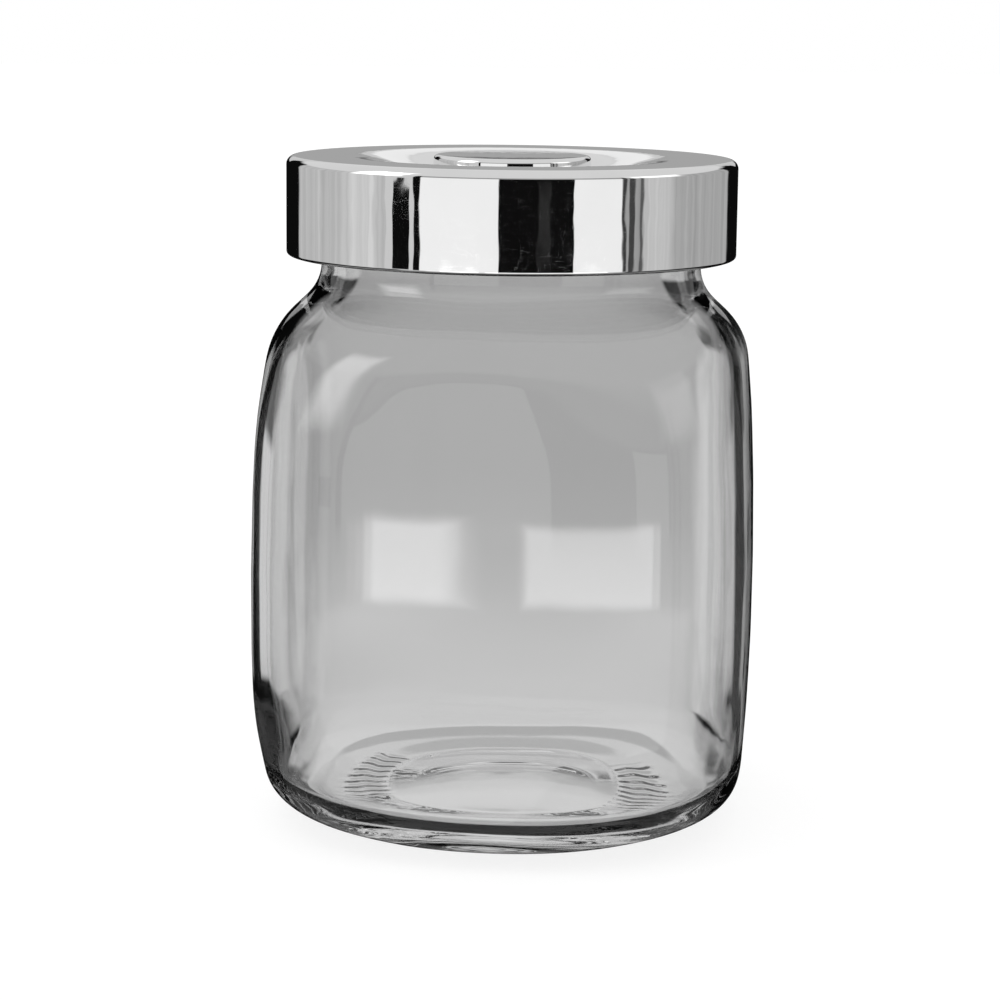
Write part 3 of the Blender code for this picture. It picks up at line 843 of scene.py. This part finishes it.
SEEN_THROUGH = (
    ("studio in front", -136, 136, -100, 60, 6, 0, 0.58),
    ("floor beneath", -190, 190, -100, -28, 6, 0, 0.50),
    ("sweep behind", 140, 220, -19, -5, 3, 0, 0.70),
    ("backdrop", 169, 191, -45, 50, 2, 0, 0.45),
    ("backdrop's foot", 169, 191, -45, -12, 5, 0, 0.64),
    ("floor behind", 169, 191, -27, -20.5, 3, 0, 0.66),
    ("floor's shade", 169, 191, -45, -28, 3, 0, 0.44),
)
INSIDE = (
    ("sweep behind", 160, 200, -17, -5, 3, 0, 0.62),
    ("left wall", 216, 235, -17, -5, 3, 0, 0.60),
    ("right wall", 130, 144, -17, -5, 3, 0, 0.30),
    ("backdrop", 169, 191, -42, 24, 3, 0, 0.50),
    ("backdrop's foot", 169, 191, -42, -12, 5, 0, 0.62),
    ("ceiling", -190, 190, 22, 100, 6, 0, 0.37),
    ("ceiling behind", 150, 210, 20, 50, 4, 0, 0.80),
)
# Bright windows, added to what the outer surfaces mirror and to what shines just inside the glass.
WINDOWS = (
    ("left window's glow", -43, -35, -10.5, -7.2, 3.4, 0, 0.8),
    ("left window", -35, -17, -10.9, -6.6, 2.4, 0, 3.2),
    ("right window's glow", 33, 47, -10.5, -6.7, 2.4, 0, 1.4),
    ("right window", -12, 49, -10.9, -6.9, 2.2, 0, 2.5),
    ("upper left window", -86, -60, 10, 42, 9, 0, 2.4),
    ("upper right window", 62, 95, 10, 24, 7, 0, 0.9),
)
DARK = 0.004  # where no panel is


def panel_mask(tree, azimuth, elevation, left, right, low, high, edge):
    """1 inside a panel of the studio and 0 outside, with a soft edge."""
    middle, half_width = (left + right) / 2, (right - left) / 2
    level, half_height = (low + high) / 2, (high - low) / 2
    apart = maths(tree, "WRAP", maths(tree, "SUBTRACT", azimuth, middle), 180, -180)
    beside = maths(tree, "SUBTRACT", maths(tree, "ABSOLUTE", apart), half_width)
    above = maths(tree, "ABSOLUTE", maths(tree, "SUBTRACT", elevation, level))
    beyond = maths(tree, "MAXIMUM", beside, maths(tree, "SUBTRACT", above, half_height))
    ramp = add_node(tree, "ShaderNodeMapRange", interpolation_type="SMOOTHSTEP")
    tree.links.new(beyond, ramp.inputs["Value"])
    for name, value in (("From Min", -edge / 2), ("From Max", edge / 2), ("To Min", 1), ("To Max", 0)):
        ramp.inputs[name].default_value = value
    return ramp.outputs["Result"]


def panels_light(tree, light, panels, azimuth, elevation, streak):
    """The brightness that a set of panels shows in a direction, over what is behind them."""
    for _, left, right, low, high, edge, streaks, level in panels:
        mask = panel_mask(tree, azimuth, elevation, left, right, low, high, edge)
        if streaks:
            level = maths(tree, "MULTIPLY_ADD", streak, streaks * level, level)
        light = mixed(tree, mask, light, level)
    return light


def make_world():
    """A white surround for the camera, even light on the object, and a studio of panels for metal and glass.

    The studio has three sets of panels: what shines in the outer surfaces, what is seen straight through the
    glass, and what shines inside the glass.
    """
    world = bpy.data.worlds.new("Studio")
    bpy.context.scene.world = world
    world.use_nodes = True
    tree = world.node_tree
    tree.nodes.clear()
    coordinates = add_node(tree, "ShaderNodeTexCoord")
    parts = add_node(tree, "ShaderNodeSeparateXYZ")
    tree.links.new(coordinates.outputs["Generated"], parts.inputs[0])
    x, y, z = parts.outputs
    heading = maths(tree, "ARCTAN2", x, maths(tree, "MULTIPLY", y, -1))
    azimuth = maths(tree, "SUBTRACT", maths(tree, "DEGREES", heading), CAMERA_AZIMUTH)
    elevation = maths(tree, "DEGREES", maths(tree, "ARCSINE", z))
    noise = add_node(tree, "ShaderNodeTexNoise", noise_dimensions="1D")
    noise.inputs["Scale"].default_value = STREAK_DENSITY
    noise.inputs["Detail"].default_value = STREAK_DETAIL
    tree.links.new(azimuth, noise.inputs["W"])
    streak = maths(tree, "SUBTRACT", noise.outputs["Fac"], 0.5)
    mirrored, through, inside, windows = (
        panels_light(tree, start, panels, azimuth, elevation, streak)
        for start, panels in ((DARK, MIRRORED), (DARK, SEEN_THROUGH), (DARK, INSIDE), (0, WINDOWS))
    )
    path = add_node(tree, "ShaderNodeLightPath")
    near = maths(tree, "LESS_THAN", path.outputs["Transmission Depth"], WINDOW_SURFACES)
    mirrored = maths(tree, "ADD", mirrored, windows)
    inside = maths(tree, "MULTIPLY_ADD", windows, near, inside)
    in_glass = maths(tree, "GREATER_THAN", path.outputs["Transmission Depth"], 0.5)
    turned_back = maths(tree, "GREATER_THAN", path.outputs["Glossy Depth"], 0.5)
    studio = mixed(tree, in_glass, mirrored, mixed(tree, turned_back, through, inside))
    light = mixed(tree, path.outputs["Is Diffuse Ray"], studio, SURROUND_LIGHT)
    light = mixed(tree, path.outputs["Is Camera Ray"], light, BACKGROUND_LIGHT)
    background = add_node(tree, "ShaderNodeBackground")
    background.inputs["Color"].default_value = (1, 1, 1, 1)
    tree.links.new(light, background.inputs["Strength"])
    output = add_node(tree, "ShaderNodeOutputWorld")
    tree.links.new(background.outputs[0], output.inputs["Surface"])


def make_floor():
    """A white disc that keeps the object's soft shadow.

    The camera sees it from above only. Reflections and what shows through the glass look past it.
    """
    turn = np.linspace(0, 2 * math.pi, FLOOR_SEGMENTS, endpoint=False)
    rim = FLOOR_RADIUS * np.stack([np.cos(turn), np.sin(turn), np.zeros(FLOOR_SEGMENTS)], 1)
    faces = fan(FLOOR_SEGMENTS, 0, FLOOR_SEGMENTS, True)
    floor = new_piece("floor", np.concatenate([rim, [(0, 0, 0)]]), faces, math.pi)
    floor.location.z = -FLOOR_DROP
    material, tree, shader = new_material("white_floor", {})
    tree.nodes.remove(shader)
    diffuse = add_node(tree, "ShaderNodeBsdfDiffuse")
    diffuse.inputs["Color"].default_value = (FLOOR_GREY, FLOOR_GREY, FLOOR_GREY, 1)
    glow = add_node(tree, "ShaderNodeEmission")
    glow.inputs["Strength"].default_value = FLOOR_GLOW
    both = add_node(tree, "ShaderNodeAddShader")
    tree.links.new(diffuse.outputs[0], both.inputs[0])
    tree.links.new(glow.outputs[0], both.inputs[1])
    clear = add_node(tree, "ShaderNodeBsdfTransparent")
    path = add_node(tree, "ShaderNodeLightPath")
    pick = add_node(tree, "ShaderNodeMixShader")
    seen = maths(tree, "MAXIMUM", path.outputs["Is Camera Ray"], path.outputs["Is Diffuse Ray"])
    underneath = add_node(tree, "ShaderNodeNewGeometry").outputs["Backfacing"]
    above = maths(tree, "SUBTRACT", 1, underneath)
    tree.links.new(maths(tree, "MULTIPLY", seen, above), pick.inputs[0])
    tree.links.new(clear.outputs[0], pick.inputs[1])
    tree.links.new(both.outputs[0], pick.inputs[2])
    output = next(node for node in tree.nodes if node.type == "OUTPUT_MATERIAL")
    tree.links.new(pick.outputs[0], output.inputs["Surface"])
    floor.data.materials.append(material)


def make_camera():
    """The camera, at its distance from the jar's axis and turned a little past it."""
    data = bpy.data.cameras.new("Camera")
    data.lens = CAMERA_LENS
    data.sensor_width = SENSOR_WIDTH
    data.clip_start = NEAREST
    data.clip_end = FARTHEST
    camera = bpy.data.objects.new("Camera", data)
    bpy.context.scene.collection.objects.link(camera)
    bpy.context.scene.camera = camera
    heading = math.radians(CAMERA_AZIMUTH)
    right, back = CAMERA_DISTANCE * math.sin(heading), CAMERA_DISTANCE * math.cos(heading)
    camera.location = (right, -back, CAMERA_HEIGHT)
    sidestep = math.atan(AIM_SIDESTEP / CAMERA_DISTANCE)
    turn = Matrix.Rotation(heading + sidestep, 4, "Z")
    tilt = Matrix.Rotation(math.radians(90 - CAMERA_PITCH), 4, "X")
    roll = Matrix.Rotation(math.radians(CAMERA_ROLL), 4, "Z")
    camera.rotation_euler = (turn @ tilt @ roll).to_euler()


def allow_long_light_paths():
    """Lets light turn back often inside the thick base of the jar before it's given up."""
    cycles = bpy.context.scene.cycles
    cycles.max_bounces = LIGHT_PATH_TURNS
    cycles.glossy_bounces = LIGHT_PATH_TURNS
    cycles.transmission_bounces = LIGHT_PATH_TURNS


def make_sun():
    """A weak, wide sun for the soft shadow, which neither metal nor glass shows."""
    data = bpy.data.lights.new("Soft sun", "SUN")
    data.energy = SUN_LIGHT
    data.angle = SUN_SOFTNESS
    sun = bpy.data.objects.new("Soft sun", data)
    sun.rotation_euler = SUN_TILT
    sun.visible_glossy = False
    sun.visible_transmission = False
    bpy.context.scene.collection.objects.link(sun)


bpy.context.scene.view_settings.view_transform = "Standard"
allow_long_light_paths()
make_camera()
make_world()
make_floor()
make_sun()

waviness, scuffs, specks = make_waviness_group(), make_scuffs_group(), make_specks_group()
glass = glass_material(waviness, specks)
plating = plating_material(waviness, scuffs)
plastic = plastic_material(specks, scuffs)
silicone = silicone_material(specks)
steel = steel_material(scuffs)
for piece, material, body, node, slot in (
    (make_jar(), glass, "jar", "glass_jar", "glass"),
    (make_cap(), plating, "lid", "lid_shell", "plating"),
    (make_knob(), plating, "lid", "knob", "plating"),
    (make_stopper(), plastic, "lid", "liner", "white_plastic"),
    (make_seal(), silicone, "lid", "seal_ring", "silicone"),
    (make_pad("knob_pad", PAD_LOW, PAD_HIGH, BOSS_HOLE), silicone, "lid", "knob_gasket", "silicone"),
    (make_pad("screw_pad", WASHER_LOW, WASHER_HIGH, SCREW_HOLE), silicone, "lid", "screw_washer", "silicone"),
    (make_screw(), steel, "lid", "knob_screw", "screw_steel"),
):
    piece.data.materials.append(material)
    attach(piece, body)
    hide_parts(node)
